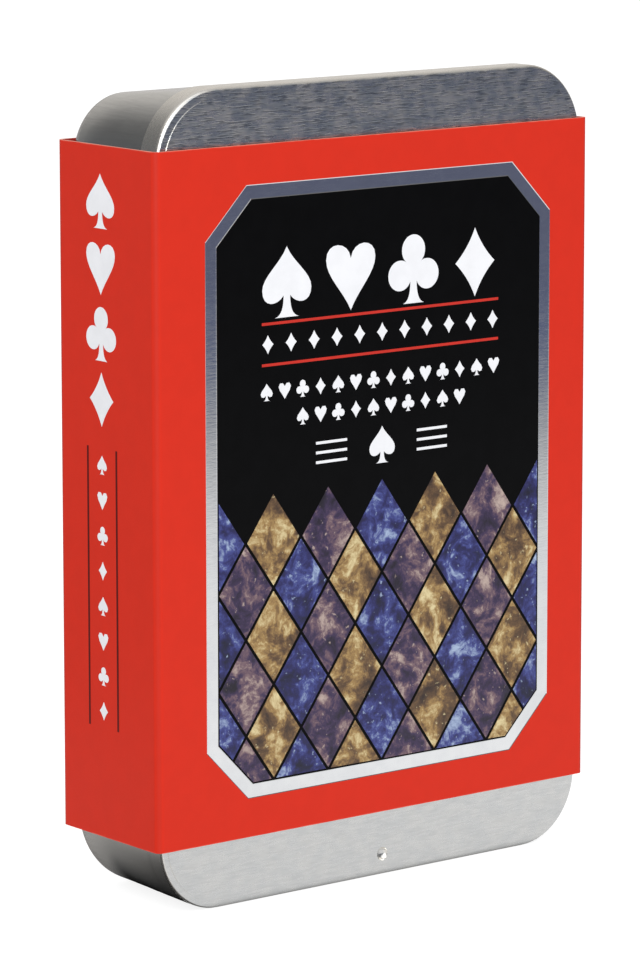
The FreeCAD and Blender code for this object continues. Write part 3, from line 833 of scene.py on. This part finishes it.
shape = bmesh.new()
for level in RULE_LEVELS:
    bar(shape, 0, front(level), RULE_WIDTH, RULE_THICKNESS)
print_on("front_rules", shape, front_plane, "sleeve", "sleeve_card", rule_ink)

# %% [markdown]
# ## The harlequin lattice
# The lower half of the panel carries a lattice of lozenges, a pattern as old as card backs. A grid
# turned by 45 degrees and stretched upwards is already such a lattice. Planes along the panel's
# sides trim it, and an inset of each face opens the dark lines. The inks are mottled, from
# deep blue to gold, like marbled paper.

# %% Marbled inks
SWIRL_REACH = (4 * MM, 4 * MM, 4 * MM)


def marbled(name, seed, *stops):
    """An ink that runs through several tints in soft veins and spots."""
    material, tree, shader = new_material(name)
    place = steer(tree, "ADD", object_place(tree), (seed, seed, seed))
    swirl = node(tree, "ShaderNodeTexNoise", {"Vector": place, "Scale": 210.0, "Detail": 4.0})
    warped = steer(tree, "MULTIPLY_ADD", swirl.outputs["Color"], SWIRL_REACH)
    veins = noise(tree, steer(tree, "ADD", place, warped), 330.0, 7.0, 0.68)
    spots = span(tree, noise(tree, place, 1500.0, 3.0), 0.64, 0.74, 0.0, 0.7)
    tint = blend(tree, spots, ramp(tree, span(tree, veins, 0.28, 0.72), *stops), stops[-1][1])
    wire(tree, shader, Base_Color=tint, Roughness=span(tree, veins, *NOISE_RANGE, 0.34, 0.44))
    return material


blue_marble = marbled("blue_marble", 0.31, (0.0, colour(14, 14, 38)), (0.4, colour(36, 36, 92)),
                      (0.7, colour(66, 74, 140)), (1.0, colour(168, 186, 214)))
gold_marble = marbled("gold_marble", 0.67, (0.0, colour(44, 30, 26)), (0.4, colour(104, 78, 52)),
                      (0.7, colour(164, 132, 82)), (1.0, colour(224, 208, 160)))
violet_marble = marbled("violet_marble", 0.93, (0.0, colour(20, 14, 28)), (0.4, colour(58, 44, 78)),
                        (0.7, colour(112, 88, 98)), (1.0, colour(190, 170, 160)))

# %% Lattice of lozenges
LOZENGE = Vector((8.75, 11.9, 0)) * MM
LATTICE_ROWS = 12
MARBLE_COUNT = 3
LATTICE_TOP = front(50.4)
LINE = 0.2 * MM
SLIVER = (1.2 * MM) ** 2

shape = bmesh.new()
verts = bmesh.ops.create_grid(shape, x_segments=LATTICE_ROWS, y_segments=LATTICE_ROWS,
                              size=LATTICE_ROWS / 2)["verts"]
for index, face in enumerate(shape.faces):
    column, row = index % LATTICE_ROWS, index // LATTICE_ROWS
    face.material_index = (column + 2 * row) % MARBLE_COUNT
stretch = Matrix.Diagonal((LOZENGE.x / math.sqrt(2), LOZENGE.y / math.sqrt(2), 1, 1))
bmesh.ops.transform(shape, matrix=stretch @ Matrix.Rotation(math.radians(45), 4, "Z"), verts=verts)
too_high = [face for face in shape.faces if face.calc_center_median().y > LATTICE_TOP]
bmesh.ops.delete(shape, geom=too_high, context="FACES")
sides = [((sign * panel_half[0], 0, 0), (sign, 0, 0)) for sign in (-1, 1)]
sides += [((0, -panel_half[1], 0), (0, -1, 0))]
corner_middle = Vector((panel_half[0], -panel_half[1], 0)) + Vector((-PANEL_CORNER, PANEL_CORNER, 0)) / 2
sides += [((sign * corner_middle.x, corner_middle.y, 0), (sign, -1, 0)) for sign in (-1, 1)]
for point, outward in sides:
    bmesh.ops.bisect_plane(shape, geom=shape.verts[:] + shape.edges[:] + shape.faces[:],
                           plane_co=point, plane_no=outward, clear_outer=True)
bmesh.ops.remove_doubles(shape, verts=shape.verts[:], dist=2 * LINE)
slivers = [face for face in shape.faces if face.calc_area() < SLIVER]
bmesh.ops.delete(shape, geom=slivers, context="FACES")
lozenges = shape.faces[:]
lines = bmesh.ops.inset_individual(shape, faces=lozenges, thickness=LINE, use_even_offset=True)["faces"]
bmesh.ops.delete(shape, geom=lines, context="FACES")
thicken(shape, FILM + FILM_GAP, 2 * FILM)
bmesh.ops.transform(shape, matrix=front_plane, verts=shape.verts[:])
add_piece("harlequin_print", shape, "sleeve", "sleeve_card", blue_marble, violet_marble, gold_marble)

# %% [markdown]
# ## Print on the spine
# The left side of the sleeve is the spine. It leans in a little towards the back, so its plane is
# worked out from the sleeve's front fold and that lean, and the drawing lies flat against it.

# %% Pips and rules on the spine
SPINE_LEAN = 0.07
SPINE_FRONT_HALF = 35.095 * MM
SPINE_MIDDLE_Y = 1.05 * MM
SPINE_RULE_GAP = 6.1 * MM
SPINE_RULE_SPAN = (21.9 * MM, 56.3 * MM)
SPINE_RULE_WIDTH = 0.36 * MM
SPINE_PIP_LEVEL = 74.2 * MM
SPINE_PIP_SIZE = 6.6 * MM
SPINE_PIP_SPREAD = 24.0 * MM
SPINE_TINY_COUNT = 8
SPINE_TINY_SIZE = 2.3 * MM
SPINE_TINY_SHARE = 0.88

spine_x = -(SPINE_FRONT_HALF - SPINE_LEAN * (SPINE_MIDDLE_Y - FRONT_Y))
spine_plane = upright((-SPINE_LEAN, -1, 0), (spine_x, SPINE_MIDDLE_Y, 0))
rule_length = SPINE_RULE_SPAN[1] - SPINE_RULE_SPAN[0]
rule_middle = sum(SPINE_RULE_SPAN) / 2

shape = bmesh.new()
for suit, offset in zip(SUITS, reversed(evenly(len(SUITS), SPINE_PIP_SPREAD))):
    stamp(shape, pips[suit], 0, SPINE_PIP_LEVEL + offset, SPINE_PIP_SIZE)
for index, offset in enumerate(reversed(evenly(SPINE_TINY_COUNT, SPINE_TINY_SHARE * rule_length))):
    stamp(shape, small_pips[SUITS[index % len(SUITS)]], 0, rule_middle + offset, SPINE_TINY_SIZE)
print_on("spine_white_print", shape, spine_plane, "sleeve", "sleeve_card", white_ink, level=0)

shape = bmesh.new()
for side in (-0.5, 0.5):
    bar(shape, side * SPINE_RULE_GAP, rule_middle, SPINE_RULE_WIDTH, rule_length)
print_on("spine_rules", shape, spine_plane, "sleeve", "sleeve_card", dark_red_ink, level=0)

# %% [markdown]
# ## Card stock
# Playing cards are coated paper with a fine woven emboss, which lets them slide. Their backs carry a
# printed lattice inside a white border, and their edges stay bare. All the cards share one finish,
# which finds the back by its normal.

# %% Coated card
card_low, card_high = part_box("card_ace_of_spades")
card_centre = (card_low + card_high) / 2
card_half = (card_high - card_low) / 2
CARD_WHITE = colour(244, 242, 236)
BACK_RED = colour(176, 30, 34)
BACK_BORDER = 3.2 * MM
BACK_PITCH = 2.4 * MM
LINEN_PITCH = 0.35 * MM

card_stock, tree, shader = new_material("card_stock")
place = object_place(tree)
tooth = node(tree, "ShaderNodeGroup", {"Vector": place}, node_tree=paper_tooth).outputs
axes = node(tree, "ShaderNodeSeparateXYZ", {0: steer(tree, "SUBTRACT", place, card_centre)})
x, z = axes.outputs["X"], axes.outputs["Z"]


def wave(value, pitch):
    """A sine wave along one value."""
    return calc(tree, "SINE", calc(tree, "MULTIPLY", value, 2 * math.pi / pitch))


rising = wave(calc(tree, "ADD", x, z), BACK_PITCH)
falling = wave(calc(tree, "SUBTRACT", x, z), BACK_PITCH)
lattice = span(tree, calc(tree, "MULTIPLY", rising, falling), -0.05, 0.05)
inside = calc(tree, "MULTIPLY",
              calc(tree, "LESS_THAN", calc(tree, "ABSOLUTE", x), card_half.x - BACK_BORDER),
              calc(tree, "LESS_THAN", calc(tree, "ABSOLUTE", z), card_half.z - BACK_BORDER))
facing = node(tree, "ShaderNodeSeparateXYZ", {0: node(tree, "ShaderNodeNewGeometry").outputs["Normal"]})
on_back = calc(tree, "MULTIPLY", inside, calc(tree, "GREATER_THAN", facing.outputs["Y"], 0.5))
white = blend(tree, span(tree, tooth["Mottle"], *NOISE_RANGE), CARD_WHITE, dimmed(CARD_WHITE, 0.015))
printed = blend(tree, lattice, BACK_RED, white)
linen = calc(tree, "MULTIPLY", wave(x, LINEN_PITCH), wave(z, LINEN_PITCH))
wire(tree, shader, Base_Color=blend(tree, on_back, white, printed),
     Roughness=span(tree, tooth["Grain"], *NOISE_RANGE, 0.32, 0.42),
     Normal=bumped(tree, linen, PAPER_RELIEF, 0.2))
cards = [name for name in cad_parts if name.startswith("card_")]
for name in cards:
    dress(name, card_stock)
print("cards:", len(cards))

# %% [markdown]
# ## Card faces
# A card's face tells its rank and suit twice, so that it reads from both ends. One function draws
# any face: a large pip for an ace, rows of pips for a number, a framed field of lozenges for a court
# card and a star for a joker. Every face is ink on its own card, thinner than the air between cards.

# %% Values for the card faces
RANKS = dict(zip(("two", "three", "four", "five", "six", "seven", "eight", "nine", "ten"), range(2, 11)))
COURT_ROWS = {"jack": 3, "queen": 5, "king": 7}
SIDE_ROWS = {4: (1, -1), 5: (1, -1), 6: (1, 0, -1), 7: (1, 0, -1), 8: (1, 0, -1),
             9: (1, 1 / 3, -1 / 3, -1), 10: (1, 1 / 3, -1 / 3, -1)}
MIDDLE_ROWS = {2: (1, -1), 3: (1, 0, -1), 5: (0,), 7: (0.5,), 8: (0.5, -0.5), 9: (0,), 10: (2 / 3, -2 / 3)}
CARD_FILM = (0.002 * MM, 0.006 * MM)
PIP_COLUMN = 10.5 * MM
PIP_REACH = 27.0 * MM
PIP_SIZE = 11.5 * MM
INDEX_PLACE = (26.8 * MM, 37.4 * MM)
INDEX_SIZE = 8.5 * MM
INDEX_DROP = 0.85 * INDEX_SIZE
INDEX_PIP_SIZE = 0.6 * INDEX_SIZE
FRAME_HALF = (19.5 * MM, 34.0 * MM)
FRAME_CORNER = 3 * MM
FRAME_LINE = 0.5 * MM
FIELD_COLUMNS = 3
FIELD_SPREAD = (1.25 * FRAME_HALF[0], 1.1 * FRAME_HALF[1])
END_PIP_PLACE = 0.8 * FRAME_HALF[1]
END_PIP_SIZE = 0.8 * PIP_SIZE
JOKER_ROWS = 3
GREAT_ACE_SIZE = 34 * MM
ACE_SIZE = 20 * MM

card_inks = {"black": ink("card_black_ink", colour(22, 22, 24), 0.34),
             "red": ink("card_red_ink", colour(192, 22, 30), 0.34)}


def letter(sign):
    """The flat mesh of one letter or number, about 0.7 units tall."""
    text = bpy.data.curves.new("index", "FONT")
    text.body = sign
    text.align_x = text.align_y = "CENTER"
    text.resolution_u = 3
    return filled(text)


star_drawing = bmesh.new()
tips = bmesh.ops.create_circle(star_drawing, cap_ends=True, segments=10, radius=0.5)["verts"]
bmesh.ops.scale(star_drawing, vec=(0.42, 0.42, 1), verts=tips[::2])
star = bpy.data.meshes.new("star")
star_drawing.to_mesh(star)
star_drawing.free()


# %% Helpers for the card faces
def index_corners(shape, sign, pip):
    """The rank over a small pip in the upper left corner, and again upside down."""
    for side, turn in ((1, 0.0), (-1, math.pi)):
        x, y = -side * INDEX_PLACE[0], side * INDEX_PLACE[1]
        if sign:
            stamp(shape, sign, x, y, INDEX_SIZE, turn)
        stamp(shape, pip, x, y - side * INDEX_DROP, INDEX_PIP_SIZE, turn)


def number_face(shape, pip, count):
    """Rows of pips, with the lower ones upside down."""
    places = [(side * PIP_COLUMN, row) for row in SIDE_ROWS.get(count, ()) for side in (-1, 1)]
    places += [(0, row) for row in MIDDLE_ROWS.get(count, ())]
    for x, row in places:
        stamp(shape, pip, x, row * PIP_REACH, PIP_SIZE, math.pi if row < 0 else 0.0)


def framed_face(shape, pip, rows):
    """A frame round a field of lozenges, with a pip at each end."""
    cut_cornered(shape, *FRAME_HALF, FRAME_CORNER)
    field = shape.faces[:]
    bmesh.ops.inset_region(shape, faces=field, thickness=FRAME_LINE,
                           use_boundary=True, use_even_offset=True)
    bmesh.ops.delete(shape, geom=field, context="FACES")
    for y in evenly(rows, FIELD_SPREAD[1]):
        for x in evenly(FIELD_COLUMNS, FIELD_SPREAD[0]):
            stamp(shape, small_pips["diamond"], x, y, FRAME_HALF[1] / rows)
    for side, turn in ((1, 0.0), (-1, math.pi)):
        stamp(shape, pip, 0, side * END_PIP_PLACE, END_PIP_SIZE, turn)


# %% Print every face
for name in cards:
    words = name.split("_")
    rank, suit = words[1], words[-1].rstrip("s")
    drawing = bmesh.new()
    pip = small_pips.get(suit, star)
    if rank in RANKS:
        number_face(drawing, pip, RANKS[rank])
        index_corners(drawing, letter(str(RANKS[rank])), pip)
    elif rank in COURT_ROWS:
        framed_face(drawing, pip, COURT_ROWS[rank])
        index_corners(drawing, letter(rank[0].upper()), pip)
    elif rank == "ace":
        stamp(drawing, pips[suit], 0, 0, GREAT_ACE_SIZE if suit == "spade" else ACE_SIZE)
        index_corners(drawing, letter("A"), pip)
    else:
        framed_face(drawing, star, JOKER_ROWS)
        index_corners(drawing, None, star)
    low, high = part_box(name)
    bmesh.ops.remove_doubles(drawing, verts=drawing.verts[:], dist=WELD)
    thicken(drawing, *CARD_FILM)
    plane = upright((1, 0, 0), ((low.x + high.x) / 2, low.y, (low.z + high.z) / 2))
    bmesh.ops.transform(drawing, matrix=plane, verts=drawing.verts[:])
    tone = "red" if suit in ("heart", "diamond") or rank == "red" else "black"
    add_piece(name.replace("card_", "print_"), drawing, "deck", "card_stock", card_inks[tone])

# %% Measure and finish
low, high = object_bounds()
